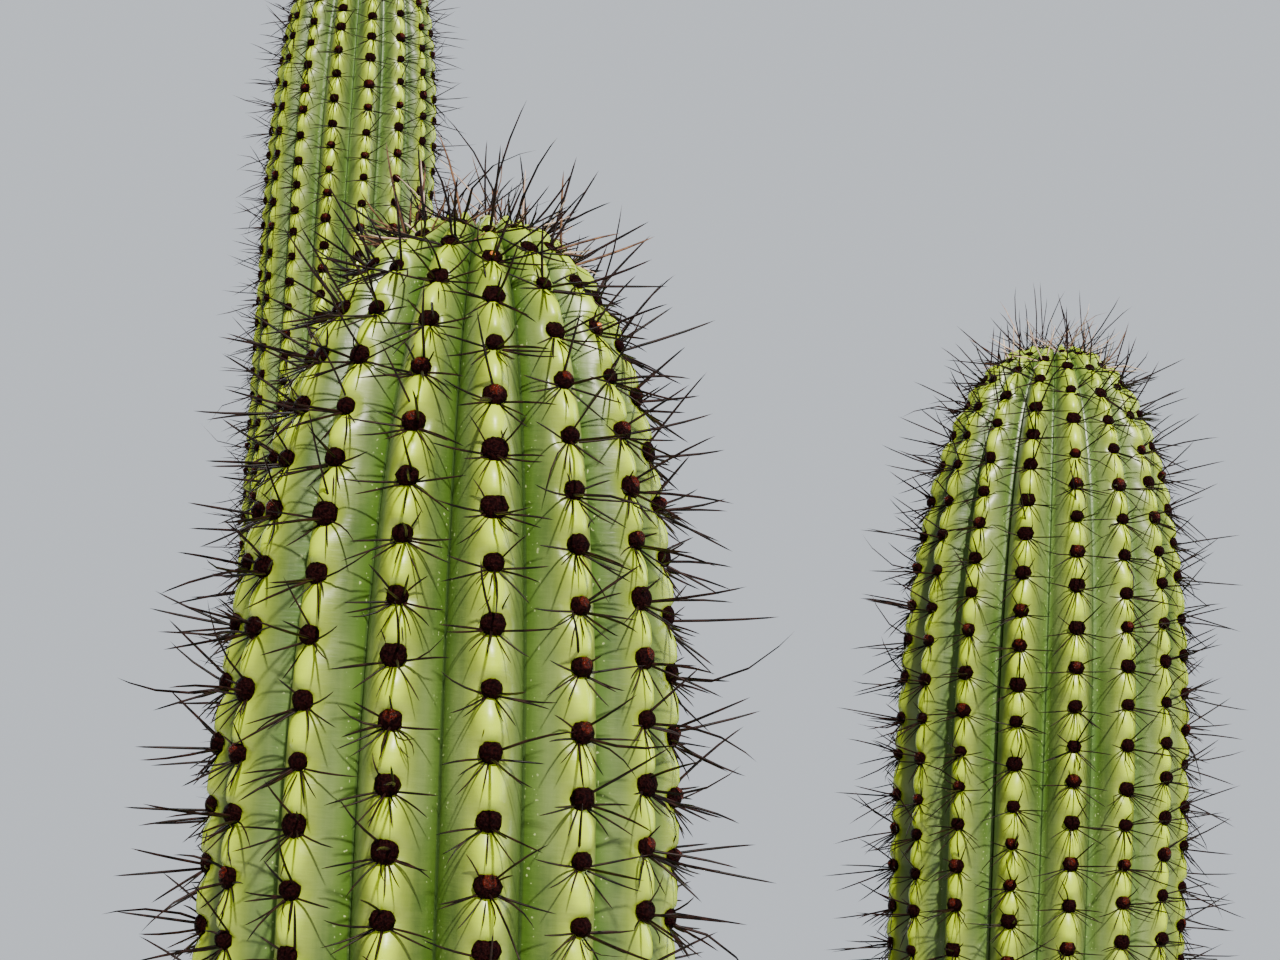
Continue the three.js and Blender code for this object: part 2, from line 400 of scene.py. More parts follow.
# %% Write materials as expressions
class Wire:
    def __init__(self, tree, socket=None):
        self.tree, self.socket = tree, socket

    def node(self, kind, settings=None, sockets=None, output=0):
        made = self.tree.nodes.new(kind)
        for key, value in (settings or {}).items():
            setattr(made, key, value)
        for key, value in (sockets or {}).items():
            self.feed(made.inputs[key], value)
        return Wire(self.tree, made.outputs[output])

    def feed(self, socket, value):
        if isinstance(value, Wire):
            self.tree.links.new(value.socket, socket)
        else:
            socket.default_value = value

    def calc(self, operation, *values):
        return self.node("ShaderNodeMath", {"operation": operation}, dict(enumerate(values)))

    def __add__(self, other):
        return self.calc("ADD", self, other)

    def __sub__(self, other):
        return self.calc("SUBTRACT", self, other)

    def __rsub__(self, other):
        return self.calc("SUBTRACT", other, self)

    def __mul__(self, other):
        return self.calc("MULTIPLY", self, other)

    __radd__, __rmul__ = __add__, __mul__

    def ramp(self, low, high, first=0.0, last=1.0):
        """first below low, last above high, and a smooth change between."""
        return self.node(
            "ShaderNodeMapRange",
            {"interpolation_type": "SMOOTHSTEP"},
            {"Value": self, "From Min": low, "From Max": high, "To Min": first, "To Max": last},
        )

    def stretch(self, *shares):
        """The same place with its three coordinates multiplied, to draw a pattern out."""
        sockets = {0: self, 1: shares}
        return self.node("ShaderNodeVectorMath", {"operation": "MULTIPLY"}, sockets)

    def blend(self, first, second):
        """first where this wire is 0 and second where it is 1, for colours."""
        return self.node("ShaderNodeMix", {"data_type": "RGBA"}, {0: self, 6: first, 7: second}, output=2)


def srgb(red, green, blue):
    """A colour as a picture gives it, 0 to 255, in the linear numbers that Blender wants."""
    shares = [value / 255 for value in (red, green, blue)]
    return tuple(s / 12.92 if s <= 0.04045 else ((s + 0.055) / 1.055) ** 2.4 for s in shares) + (1.0,)


print("a middle grey in linear numbers:", round(srgb(128, 128, 128)[0], 3))

# %% Keep a material's patterns and looks together
CLOUD_ROUGHNESS = 0.55


class Finish:
    """A material as it is mixed. Its looks are its shader's sockets, with _ for each space."""

    def __init__(self, name, **looks):
        self.material = bpy.data.materials.new(name)
        self.material.use_nodes = True
        nodes = self.material.node_tree.nodes
        self.shader = next(node for node in nodes if node.type == "BSDF_PRINCIPLED")
        self.start = Wire(self.material.node_tree)
        self.place = self.start.node("ShaderNodeTexCoord", output=3)
        self.set(**looks)

    def set(self, **looks):
        for key, value in looks.items():
            self.start.feed(self.shader.inputs[key.replace("_", " ")], value)

    def cloud(self, scale, detail=3.0, drawn_out=(1, 1, 1)):
        """Soft noise with so many features per metre, fewer along an axis where it is drawn out."""
        place = self.place if drawn_out == (1, 1, 1) else self.place.stretch(*drawn_out)
        sockets = {"Vector": place, "Scale": scale, "Detail": detail, "Roughness": CLOUD_ROUGHNESS}
        return self.start.node("ShaderNodeTexNoise", None, sockets)

    def bump(self, height, distance, strength):
        sockets = {"Height": height, "Distance": distance, "Strength": strength}
        return self.start.node("ShaderNodeBump", None, sockets)

    def kept(self, name):
        """A number that the mesh keeps at each of its points."""
        settings = {"attribute_name": name, "attribute_type": "GEOMETRY"}
        return self.start.node("ShaderNodeAttribute", settings, output=2)

    def count(self):
        print(f"{self.material.name}: {len(self.material.node_tree.nodes)} nodes")


# %% [markdown]
# ## The skin's finish
# The living skin is waxy and satin. It is yellow-green on the beads between the pads, and a fuller green
# on the flanks, with patches of pale bloom that are partly a painted sheen, and a scatter of pale pores.
# Painted shade makes it darkest towards the groove and in the slit, and the crest turns olive near the
# pads, partly with painted shade. The lower stretches are duller, with a few scars, and the old foot of an
# arm has turned to grey-brown cork.
# The relief already knows where crest, groove, bead and root are, so the skin carries those numbers and
# the finish reads them. That keeps colour and shape in step, which a picture laid over the arm would not.

# %% Mix the living skin
KEPT_NUMBERS = "groove", "bead", "cork", "gone"  # what the skin keeps at each of its points

skin = Finish("waxy_skin", Coat_Roughness=0.32, Specular_IOR_Level=0.2)
groove, bead_here, cork, gone = (skin.kept(name) for name in KEPT_NUMBERS)
youth, age = gone.ramp(0.0, 0.11, 1.0, 0.0), gone.ramp(0.32, 1.25)
broad, mottle, grain = (skin.cloud(scale) for scale in (9.0, 55.0, 420.0))
streak = skin.cloud(330.0, drawn_out=(1, 1, 0.1))  # up the arm
ripple = skin.cloud(900.0, drawn_out=(0.14, 0.14, 1))  # and round it

# The flank: two greens, bloom patches that are partly painted sheen, a paler tone near the crest and
# painted shade near the groove.
tone = (mottle * 0.5 + streak * 0.3 + ripple * 0.2).ramp(0.38, 0.64)
living = tone.blend(srgb(51, 71, 26), srgb(76, 93, 40))
# Pale waxy bloom, its patches made paler to paint the satin sheen on the flanks.
bloom_and_sheen = broad.ramp(0.42, 0.62, 0.03, 0.28) * groove.ramp(0.3, 0.7)
living = bloom_and_sheen.blend(living, srgb(146, 163, 100))
living = groove.ramp(0.1, 0.66, 0.8, 0.0).blend(living, srgb(145, 162, 40))
# Painted shade: the flank turns a deeper, darker green towards the groove.
living = groove.ramp(0.6, 0.97, 0.0, 0.7).blend(living, srgb(60, 92, 22))

# The crest, yellowest on the beads, and the slit between the ribs, coloured with painted shade.
from_crest = groove - bead_here * 0.2
# Towards the pads the crest turns olive: the skin's own greener tone, with painted shade under each bead's
# overhang above the next pad.
crest = bead_here.ramp(0.05, 0.85).blend(srgb(104, 124, 16), srgb(164, 187, 6))
living = from_crest.ramp(-0.10, 0.19, 1.0, 0.0).blend(living, crest)
slit = groove.ramp(0.950, 0.985)
# Painted shade: the slit is coloured a near-black green.
living = (slit * 0.9).blend(living, srgb(28, 48, 12))

# What the years do: fresh green at the tip, and dull skin with scars further down.
fresh = (youth * groove.ramp(0.5, 0.9, 1.0, 0.0)).ramp(0.0, 1.0, 0.0, 0.45)
living = fresh.blend(living, srgb(150, 178, 40))
dull_green = from_crest.ramp(0.0, 0.7).blend(srgb(146, 150, 66), srgb(82, 104, 52))
living = (broad.ramp(0.35, 0.65, 0.35, 0.75) * age).blend(living, dull_green)
scars = (mottle + broad).ramp(1.12, 1.24) * age
living = (scars * 0.6).blend(living, srgb(128, 108, 72))
pores = skin.cloud(900.0, detail=0.0).ramp(0.76, 0.80) * groove.ramp(0.70, 0.86) * (1 - slit)
living = (pores * 0.5).blend(living, srgb(190, 204, 140))
skin.count()

# %% Add the cork of the old feet and the waxy relief
cork_share = (cork + (broad - 0.5) * 0.9 + (mottle - 0.5) * 0.6 + (grain - 0.5) * 0.3).ramp(0.38, 0.66)
cork_brown = mottle.ramp(0.3, 0.7).blend(srgb(104, 88, 66), srgb(142, 126, 98))
relief = grain * (cork_share * 0.9 + 0.1) + mottle * cork_share + streak * 0.2 + ripple * 0.25
skin.set(
    Base_Color=cork_share.blend(living, cork_brown),
    Roughness=cork_share * 0.4 + slit * 0.6 + mottle.ramp(0.3, 0.7, 0.36, 0.5),
    Coat_Weight=(1 - slit) * (1 - cork_share) * 0.42,
    Normal=skin.bump(relief, 0.0010, 0.6),
)
skin.count()

# %% [markdown]
# ## Growing the skin
# Rings of points go down the arm, closer together where the camera is near. A ring may have 16, 8 or 6
# points to a rib, always with one on the crest and one in the groove, so both stay sharp. Where the
# number changes, the two rings are stitched with triangles, the same way on every rib.

# %% Lay rings and stitch them
FINE = np.array([0, 0.11, 0.22, 0.34, 0.48, 0.64, 0.80, SLIT_START, 1.0])
MEDIUM = FINE[::2]
COARSE = np.array([0, 0.30, 0.66, 1.0])


def around(arm, half):
    """Rib and offset of every point of a ring, starting in the groove before the first rib."""
    offsets = np.concatenate([-half[:0:-1], half[:-1]])
    ribs = np.repeat(np.arange(arm.ribs), len(offsets))
    return ribs, np.tile(offsets, arm.ribs)


def neighbours(sides):
    """The points of a ring, and the next point round it after each."""
    here = np.arange(sides)
    return here, (here + 1) % sides


def stitch(upper, lower):
    """Triangles between two rings on one rib, as (ring, step) corners. Steps count from the groove."""
    above, under = (np.concatenate([-half[:0:-1], half]) for half in (upper, lower))
    i, j, triangles = 0, 0, []
    while i < len(above) - 1 or j < len(under) - 1:
        if j == len(under) - 1 or (i < len(above) - 1 and above[i + 1] <= under[j + 1]):
            triangles.append([(0, i), (1, j), (0, i + 1)])
            i += 1
        else:
            triangles.append([(0, i), (1, j), (1, j + 1)])
            j += 1
    return triangles


def ring_faces(arm, first, half, next_first, next_half):
    """Faces between a ring and the next one down."""
    counts = [2 * (len(part) - 1) * arm.ribs for part in (half, next_half)]
    if len(half) == len(next_half):
        here, after = neighbours(counts[0])
        return np.stack([first + here, next_first + here, next_first + after, first + after], 1)
    firsts, faces = (first, next_first), []
    for corners in stitch(half, next_half):
        for rib in range(arm.ribs):
            faces.append([firsts[ring] + (counts[ring] // arm.ribs * rib + step) % counts[ring]
                          for ring, step in corners])
    return np.array(faces)


print("triangles on a rib between a fine ring and a medium one:", len(stitch(FINE, MEDIUM)))

# %% Grow the skins
def grow_skin(arm, zones):
    """zones is a list of (end of the zone down the skin, ring spacing, points across half a rib)."""
    outline = OUTLINES[arm.name]
    rings, begin = [], 0.0
    for end, spacing, half in zones:
        end = min(end, outline.length)
        rows = max(2, round((end - begin) / spacing))
        rings += [(gone, half) for gone in np.linspace(begin, end, rows, endpoint=False)]
        begin = end
    rings = rings[1:] + [(outline.length, zones[-1][2])]
    points = [LINES[arm.name].point(outline.at(np.array([0.0]))[0])]
    numbers = [np.zeros((1, len(KEPT_NUMBERS)))]
    faces = {3: [], 4: []}
    first, above = 0, None
    for gone, half in rings:
        ribs, offsets = around(arm, half)
        gone = np.full(len(ribs), gone)
        begin = sum(map(len, points))
        place, pads = skin_points(arm, ribs, offsets, gone)
        points.append(place)
        numbers.append(np.stack([np.abs(offsets), bead_tone(pads), oldness(arm, gone), gone], 1))
        if above is None:
            here, after = neighbours(len(ribs))
            joined = np.stack([np.zeros_like(here), begin + here, begin + after], 1)
        else:
            joined = ring_faces(arm, first, above, begin, half)
        faces[joined.shape[1]].append(joined)
        first, above = begin, half
    values = dict(zip(KEPT_NUMBERS, np.concatenate(numbers).T))
    faces = [np.concatenate(rows) for rows in faces.values()]
    piece = new_piece(f"{arm.name}_arm", np.concatenate(points), faces, skin.material, "skin", values)
    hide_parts(f"{arm.name}_arm_foot", f"{arm.name}_arm_column")


WHOLE = 9  # further down the skin than any arm goes
ZONES = {
    "front": [(0.29, 0.0015, FINE), (WHOLE, 0.0080, COARSE)],
    "inner_right": [(0.34, 0.0026, MEDIUM), (WHOLE, 0.0080, COARSE)],
    "tall": [(0.55, 0.0040, MEDIUM), (WHOLE, 0.0080, COARSE)],
}
REST_ZONES = [(0.10, 0.0050, COARSE), (WHOLE, 0.0080, COARSE)]
for arm in ARMS:
    grow_skin(arm, ZONES.get(arm.name, REST_ZONES))

# %% [markdown]
# ## Felt pads
# A pad is a cushion of dense felt, dark maroon or nearly black and almost round, that sits in the
# notch between two beads and bulges out like nearly half a ball. Those round the growing point are
# smaller and closer, and about one in three of the others has a red-brown heart. Each is a dome with a
# lumpy surface that pulls in at its rim, and a heart is a smaller dome that stands out of it.

# %% Find every pad's place and directions
Pads = collections.namedtuple("Pads", "place normal down side gone")
FIRST_PAD = 0.004  # distance down the skin from which pads are looked for
NO_PADS = 0.10  # the stretch up from the root that has none left
SEARCH_POINTS = 6000


def find_pads(arm, begin, end):
    """The pads of an arm between two distances down its skin."""
    outline, line = OUTLINES[arm.name], LINES[arm.name]
    reach = np.linspace(FIRST_PAD, outline.length - NO_PADS, SEARCH_POINTS)
    ribs, gone = [], []
    for rib in range(arm.ribs):
        count = pad_count(arm, rib, reach)
        whole = np.arange(math.ceil(count[0]), math.floor(count[-1]) + 1)
        found = np.interp(whole, count, reach)
        found = found[(found >= begin) & (found < end)]
        ribs.append(np.full(len(found), rib))
        gone.append(found)
    ribs, gone = np.concatenate(ribs), np.concatenate(gone)
    place, _ = skin_points(arm, ribs, np.zeros(len(ribs)), gone)
    below, _, outward_part, upward_part = outline.at(gone)
    along, outward, across = line.directions(below)
    ray = swing(outward, across, rib_angle(arm, ribs, gone))
    normal = unit(ray * outward_part[:, None] + along * upward_part[:, None])
    down = unit(ray * upward_part[:, None] - along * outward_part[:, None])
    return Pads(place, normal, down, np.cross(normal, down), gone)


print("pads on the tip of the front arm:", len(find_pads(ARMS[0], 0, TIP_LENGTH).gone))

# %% [markdown]
# Pads and spines are both stacks of rings that close in a point, thousands of times over, so one helper
# writes the faces of a stack once and repeats them for every copy.

# %% Repeat a stack of rings
def circle(sides):
    return np.arange(sides) * 2 * math.pi / sides


def stacks(rings, tips):
    """Points and faces of stacks of rings that end in tips. rings goes by stack, ring, point and axis."""
    copies, rows, sides, _ = rings.shape
    points = np.concatenate([rings.reshape(copies, -1, 3), tips[:, None]], 1)
    here, after = neighbours(sides)
    bands = [np.zeros((0, 4), int)]
    for low in range(0, (rows - 1) * sides, sides):
        bands.append(np.stack([low + here, low + after, low + sides + after, low + sides + here], 1))
    last, tip = (rows - 1) * sides, rows * sides
    cap = np.stack([last + here, last + after, np.full(sides, tip)], 1)
    shift = (np.arange(copies) * (tip + 1))[:, None, None]
    faces = [(part[None] + shift).reshape(-1, part.shape[1]) for part in (np.concatenate(bands), cap)]
    return points.reshape(-1, 3), faces


print("faces of a stack of two rings of five:",
      sum(map(len, stacks(np.zeros((1, 2, 5, 3)), np.zeros((1, 3)))[1])))

# %% Build domes
PAD_RADIUS, PAD_HEIGHT = 0.0041, 0.0029
RIM_TURN = -0.4  # the dome goes this far round under its widest ring, in radians
LUMPS = 0.085  # how uneven a ring is, as a share of its radius
LIFTED = 0.12  # how far a dome is lifted off the skin, as a share of its height
OVAL = 0.94  # a dome's size along the rib, as a share of its size across


def domes(pads, radius, height, sides, rows, draw):
    """Lumpy domes on the pads' places. radius and height are one number for each pad."""
    turn = circle(sides)
    lift = np.linspace(RIM_TURN if rows > 2 else 0, math.pi / 2, rows, endpoint=False)
    lumps = 1 + draw.uniform(-LUMPS, LUMPS, (len(radius), rows, sides))
    ring = radius[:, None, None] * np.cos(lift)[None, :, None] * lumps
    rise = height[:, None] * (np.sin(lift) + LIFTED)[None, :]
    rings = (
        pads.place[:, None, None]
        + pads.side[:, None, None] * (ring * np.cos(turn))[..., None]
        - pads.down[:, None, None] * (ring * np.sin(turn) * OVAL)[..., None]
        + pads.normal[:, None, None] * rise[:, :, None, None]
    )
    return stacks(rings, pads.place + pads.normal * (height * (1 + LIFTED))[:, None])


print("a pad is", 2 * PAD_RADIUS, "across and", round(PAD_HEIGHT * (1 + LIFTED), 4), "high")

# %% [markdown]
# ## Spines
# Spines come out round the lower rim of a pad. Long ones lie out to the sides, a fan of shorter ones
# hangs below, one or two short ones rise above, and two or three stout ones, up to 36 mm long, stand
# straight out, or upwards on the young tip. They are hard, nearly black with a brown cast, and some are
# bent like hooks. Hair strands would be lost in the export, so each spine is a slender cone that keeps
# its thickness almost to its point and bends most near it.

# %% Build spines
TOWARDS_POINT = 1.6  # above 1, the rings of a spine are closer together near its point
BEND_POWER, TAPER_POWER = 2.6, 3  # the higher, the nearer to its point a spine bends and thins
UPRIGHT = 0.9  # past this much of a unit vector along Z, a direction counts as upright


def bent_cones(foot, way, bend, length, radius, sides, rows):
    """Cones that bend. Every argument but the last two has one entry for each spine."""
    guide = np.where(np.abs(way[:, 2:]) < UPRIGHT, np.array([[0, 0, 1.0]]), np.array([[1.0, 0, 0]]))
    first = unit(np.cross(way, guide))
    second = np.cross(way, first)
    t = 1 - (1 - np.arange(rows) / rows) ** TOWARDS_POINT
    reach = way * length[:, None]
    middle = foot[:, None] + reach[:, None] * t[:, None] + bend[:, None] * (t**BEND_POWER)[:, None]
    thick = radius[:, None] * (1 - t**TAPER_POWER) ** 0.5
    ring = swing(first[:, None], second[:, None], circle(sides))
    return stacks(middle[:, :, None] + ring[:, None] * thick[:, :, None, None], foot + reach + bend)


# A kind of spine: which sides of the pad it grows on, the share of pads that have it there, degrees
# round from straight down and how far that varies, degrees up from the skin and how far that varies,
# the shortest and longest, and the radius at the foot.
Kind = collections.namedtuple("Kind", "sides filled round spread rise vary short long radius")
BOTH = [1, -1]
SIDE = Kind(BOTH, 0.95, 84, 9, 18, 9, 0.0130, 0.0195, 0.00036)
LOW_SIDE = Kind(BOTH, 0.92, 62, 9, 24, 10, 0.0120, 0.0185, 0.00034)
LOWER = Kind(BOTH, 0.88, 38, 9, 26, 11, 0.0100, 0.0160, 0.00032)
LOWEST = Kind(BOTH, 0.65, 14, 8, 28, 12, 0.0080, 0.0140, 0.00029)
UPPER = Kind(BOTH, 0.45, 138, 18, 45, 14, 0.0055, 0.0110, 0.00036)
STOUT = Kind([1], 0.85, 50, 55, 73, 9, 0.0220, 0.0360, 0.00046)
LONG_LOWER = Kind([1], 0.60, 0, 42, 52, 11, 0.0180, 0.0300, 0.00042)
RISING = Kind([1], 0.75, 140, 60, 56, 12, 0.0170, 0.0320, 0.00045)
FEW_KINDS = [SIDE, LOW_SIDE, LOWER, LOWEST, UPPER]
KINDS = FEW_KINDS + [LONG_LOWER, STOUT, RISING]
print("spines on a pad, on average:", round(sum(kind.filled * len(kind.sides) for kind in KINDS), 1))

# %% Draw the spines of some pads
# Three stretches down the skin: over the first, spines stop standing up as they do round the growing
# point, over the second more of them come out, and over the third the rising kind stops rising straight.
CROWN, CORE, YOUNG = (0.0, 0.036), (0.0072, 0.024), (0.090, 0.150)
CROWN_MISSING, CORE_MISSING = 0.67, 0.30
CROWN_RISE, CROWN_PULL = 1.3, 0.75  # radians up that they are drawn to there, and how much of the way
CROWN_LENGTHS = (-0.35, 0.85)  # how much shorter or longer they may be there
CROWN_THINNER = 0.35
RISING_TURN, RISING_SPREAD = 180, 24  # degrees round from straight down, on the young tip
LOWEST_RISE, HIGHEST_RISE = 0.14, 1.5
HOOKED, CROWN_HOOKED = 0.13, 0.2  # the share bent like hooks, and how many more there
SWAY, HOOK_SWAY, CROWN_SWAY = 0.055, 0.24, 0.09  # how far a tip strays, as a share of the length
SPINE_ROOT = 0.0003  # how far over the skin a spine starts
# A spine starts at a share of its own turn round the pad, a low one lower down than a high one, and at a
# share of the pad's radius from its middle, a steep one further in.
HIGH_TURN, LOW_SHARE, HIGH_SHARE = 1.9, 0.62, 0.9
STEEP_RISE, STEEP_OUT, FLAT_OUT, CROWN_CLOSER = 0.8, 0.45, 0.85, 0.5


def fan(pads, kinds, draw, keep=1.0):
    """Foot, way, bend, length, radius and distance down the skin of every spine on the pads."""
    number = len(pads.gone)
    crown, core, young = (1 - smooth_ramp(pads.gone, *stretch) for stretch in (CROWN, CORE, YOUNG))
    rows = []
    for kind in kinds:
        for hand in kind.sides:
            share = kind.filled * keep * (1 - CROWN_MISSING * crown - CORE_MISSING * core)
            filled = draw.random(number) < share
            turn = draw.normal(kind.round, kind.spread, number)
            if kind is RISING:
                turn = turn + (draw.normal(RISING_TURN, RISING_SPREAD, number) - turn) * young
            turn = np.radians(turn) * hand
            rise = np.radians(draw.normal(kind.rise, kind.vary, number)).clip(LOWEST_RISE, HIGHEST_RISE)
            rise = rise + (CROWN_RISE - rise) * crown * CROWN_PULL
            length = draw.uniform(kind.short, kind.long, number)
            length = length * (1 + draw.uniform(*CROWN_LENGTHS, number) * crown)
            way = unit(swing(swing(pads.down, pads.side, turn), pads.normal, rise))
            hook = draw.random(number) < HOOKED + CROWN_HOOKED * crown
            sway = draw.normal(0, 1, (number, 3)) * (SWAY + HOOK_SWAY * hook + CROWN_SWAY * crown)[:, None]
            bend = (sway - way * (sway * way).sum(1, keepdims=True)) * length[:, None]
            rim = turn * np.where(np.abs(turn) < HIGH_TURN, LOW_SHARE, HIGH_SHARE)
            out = PAD_RADIUS * np.where(rise > STEEP_RISE, STEEP_OUT, FLAT_OUT) * (1 - CROWN_CLOSER * crown)
            foot = pads.place + swing(pads.down, pads.side, rim) * out[:, None] + pads.normal * SPINE_ROOT
            radius = kind.radius * (1 - CROWN_THINNER * crown)
            rows.append([part[filled] for part in (foot, way, bend, length, radius, pads.gone)])
    return [np.concatenate(parts) for parts in zip(*rows)]


print("spines bent like hooks:", HOOKED, "of them all")

# %% [markdown]
# ## Finishes of the small things
# Felt swallows light and has almost no shine, but for the red-brown hearts, which look damp and glint.
# Spines are hard and slightly glossy. Where a small thing has its own colour, such as a young spine or
# the red-brown heart of a pad, it goes into a piece of its own, because a pattern that has a place can
# shift on a mesh with so many loose parts.

# %% Mix felt and spine
def two_tone(finish, pattern, dark, light, rough_low, rough_high):
    """One colour and roughness where the pattern is low, and another where it is high."""
    finish.set(
        Base_Color=pattern.ramp(0.35, 0.7).blend(srgb(*dark), srgb(*light)),
        Roughness=pattern.ramp(0.3, 0.7, rough_low, rough_high),
    )


def felt(name, dark, light, rough, shine=0.01):
    finish = Finish(name, Specular_IOR_Level=shine)
    tuft = finish.cloud(1200.0)
    two_tone(finish, tuft, dark, light, rough + 0.1, rough - 0.1)
    finish.set(Normal=finish.bump(tuft, 0.0010, 1.0))
    return finish


def horn(name, dark, light, rough=0.34):
    finish = Finish(name, Specular_IOR_Level=0.12)
    two_tone(finish, finish.cloud(260.0, detail=2.0), dark, light, rough, rough + 0.12)
    return finish


FINISHES = {
    ("pads", "dark"): felt("dark_felt", (8, 2, 3), (30, 9, 9), rough=0.36),
    ("pads", "red_brown"): felt("red_brown_felt", (26, 6, 4), (76, 20, 10), rough=0.22, shine=0.06),
    ("pads", "pale"): felt("pale_wool", (150, 138, 84), (206, 196, 148), rough=0.9),
    ("pads", "grey"): felt("old_grey_felt", (66, 60, 52), (104, 96, 84), rough=0.9),
    ("pads", "amber"): Finish(
        "amber_nectar", Base_Color=srgb(176, 96, 30), Roughness=0.12, Coat_Weight=0.6
    ),
    ("spines", "dark"): horn("dark_spine", (8, 4, 4), (36, 18, 15)),
    ("spines", "young"): horn("young_spine", (52, 30, 22), (116, 84, 62)),
    ("spines", "pale"): horn("pale_spine", (168, 136, 122), (206, 184, 164)),
    ("spines", "grey"): horn("old_grey_spine", (84, 76, 68), (124, 114, 100), rough=0.6),
}
for finish in FINISHES.values():
    finish.count()

# %% [markdown]
# ## Setting the pads and spines
# Near the camera a pad has dozens of faces and a spine is a four-sided cone with bends. Further off they
# are simpler, and seven spines in ten are kept, made thicker so that the rows look as dark. On the old
# foot of an arm, where the real ones break off, the rows thin and turn grey.

# %% Choose how fine each stretch is
# The fewer faces a spine has, the thinner it looks, and the last number makes up for that.
Look = collections.namedtuple("Look", "pad_sides pad_rows spine_sides spine_parts thicker")
NEAR, MIDDLE, FAR = Look(14, 6, 4, 4, 1.0), Look(8, 2, 3, 2, 1.05), Look(5, 1, 3, 1, 1.9)
# Each stretch of an arm: where it ends down the skin, and how its pads and spines are made.
STRETCHES = {
    "front": [(0.29, NEAR), (0.46, MIDDLE), (WHOLE, FAR)],
    "inner_right": [(0.34, Look(8, 3, 3, 3, 1.0)), (0.50, MIDDLE), (WHOLE, FAR)],
    "tall": [(0.55, MIDDLE), (WHOLE, FAR)],
}
OLD_FROM = 0.30  # distance up from the root where pads and spines turn grey
print("arms in stretches of their own:", ", ".join(STRETCHES))

# %% Set the pads
# Pads grow in two steps down the skin: where each starts and ends, and how much of the full size it adds.
NEWEST_SIZE, GROWTH = 0.40, [(0.0, 0.045, 0.42), (0.05, 0.14, 0.18)]
FLATTEST, FLAT_END, SWOLLEN_FROM = 0.6, 0.03, 0.12  # and the newest ones are flatter
RADIUS_SPREAD, HEIGHT_SPREAD = (0.8, 1.12), (0.8, 1.15)
WIDER_POWER = 0.3  # below 1, because far pads are widened less than far spines are thickened
RED_SHARE, HEART_RADIUS, HEART_HEIGHT = 0.34, 0.72, 1.06
RED_FROM = 0.085  # distance down the skin where pads begin to show a red-brown heart
HEART_LIFT, HEART_RAISE = 0.0003, 0.18  # off the pad, and up the rib as a share of the pad's radius
NECTAR_SHARE, DROP_SIZE = 0.03, (0.0010, 0.0017)
DROP_SEAT = 0.75  # how high on a pad a drop sits, of the pad's height
DROP_SIDES, DROP_ROWS = 10, 5
WOOL_END, WOOL_SHARE = 0.017, 0.6  # where the newest pads lose their pale wool, and how many have it

heaps = collections.defaultdict(list)


def take(pads, chosen):
    return Pads(*[part[chosen] for part in pads])


def set_pads(group, pads, look, old, draw):
    """Adds the domes of some pads, with their hearts and drops, to the heaps."""
    number = len(old)

    def heap(tone, some, radius, height, sides=look.pad_sides, rows=look.pad_rows):
        heaps[group, "pads", tone].append(domes(some, radius, height, sides, rows, draw))

    wool = (pads.gone < WOOL_END) & (draw.random(number) < WOOL_SHARE)
    red = (draw.random(number) < RED_SHARE) & ~old & (pads.gone > RED_FROM)
    size = NEWEST_SIZE + sum(more * smooth_ramp(pads.gone, low, high) for low, high, more in GROWTH)
    radius = PAD_RADIUS * size * draw.uniform(*RADIUS_SPREAD, number) * look.thicker**WIDER_POWER
    height = PAD_HEIGHT * size * draw.uniform(*HEIGHT_SPREAD, number)
    height = height * (FLATTEST + (1 - FLATTEST) * smooth_ramp(pads.gone, FLAT_END, SWOLLEN_FROM))
    for tone, chosen in {"dark": ~old & ~wool, "grey": old, "pale": wool & ~old}.items():
        if chosen.any():
            heap(tone, take(pads, chosen), radius[chosen], height[chosen])
    if red.any():
        hearts = take(pads, red)
        up = hearts.normal * HEART_LIFT - hearts.down * (radius[red] * HEART_RAISE)[:, None]
        hearts = hearts._replace(place=hearts.place + up)
        heap("red_brown", hearts, radius[red] * HEART_RADIUS, height[red] * HEART_HEIGHT)
    wet = draw.random(number) < NECTAR_SHARE
    if look is NEAR and wet.any():
        drops = take(pads, wet)
        drops = drops._replace(place=drops.place + drops.normal * (height[wet] * DROP_SEAT)[:, None])
        size = draw.uniform(*DROP_SIZE, wet.sum())
        heap("amber", drops, size, size, DROP_SIDES, DROP_ROWS)


print("pads with a red-brown heart:", RED_SHARE, "of those older than the tip's")

# %% Set the spines
OLD_KEEP, FAR_KEEP = 0.5, 0.7
YOUNG_SHARE = 0.38  # of the spines round the growing point
PALE_SHARES = collections.defaultdict(lambda: 0.2, inner_right=0.7)  # of those young ones


def set_spines(group, arm, pads, look, old, draw):
    """Adds the spines of some pads to the heaps."""
    fans = [fan(take(pads, ~old), KINDS, draw, keep=FAR_KEEP if look is FAR else 1.0)]
    if old.any():
        fans.append(fan(take(pads, old), FEW_KINDS, draw, keep=OLD_KEEP))
    *spines, gone = [np.concatenate(rows) for rows in zip(*fans)]
    is_old = OUTLINES[arm.name].length - gone < OLD_FROM
    young = draw.random(len(gone)) < YOUNG_SHARE * (gone < CROWN[1])
    pale = young & (draw.random(len(gone)) < PALE_SHARES[arm.name])
    tones = {"dark": ~young & ~is_old, "young": young & ~pale, "pale": pale, "grey": is_old}
    for tone, chosen in tones.items():
        if chosen.any():
            *some, radius = [part[chosen] for part in spines]
            cones = bent_cones(*some, radius * look.thicker, look.spine_sides, look.spine_parts)
            heaps[group, "spines", tone].append(cones)


print("spines kept far from the camera:", FAR_KEEP, "and on old feet:", OLD_KEEP)

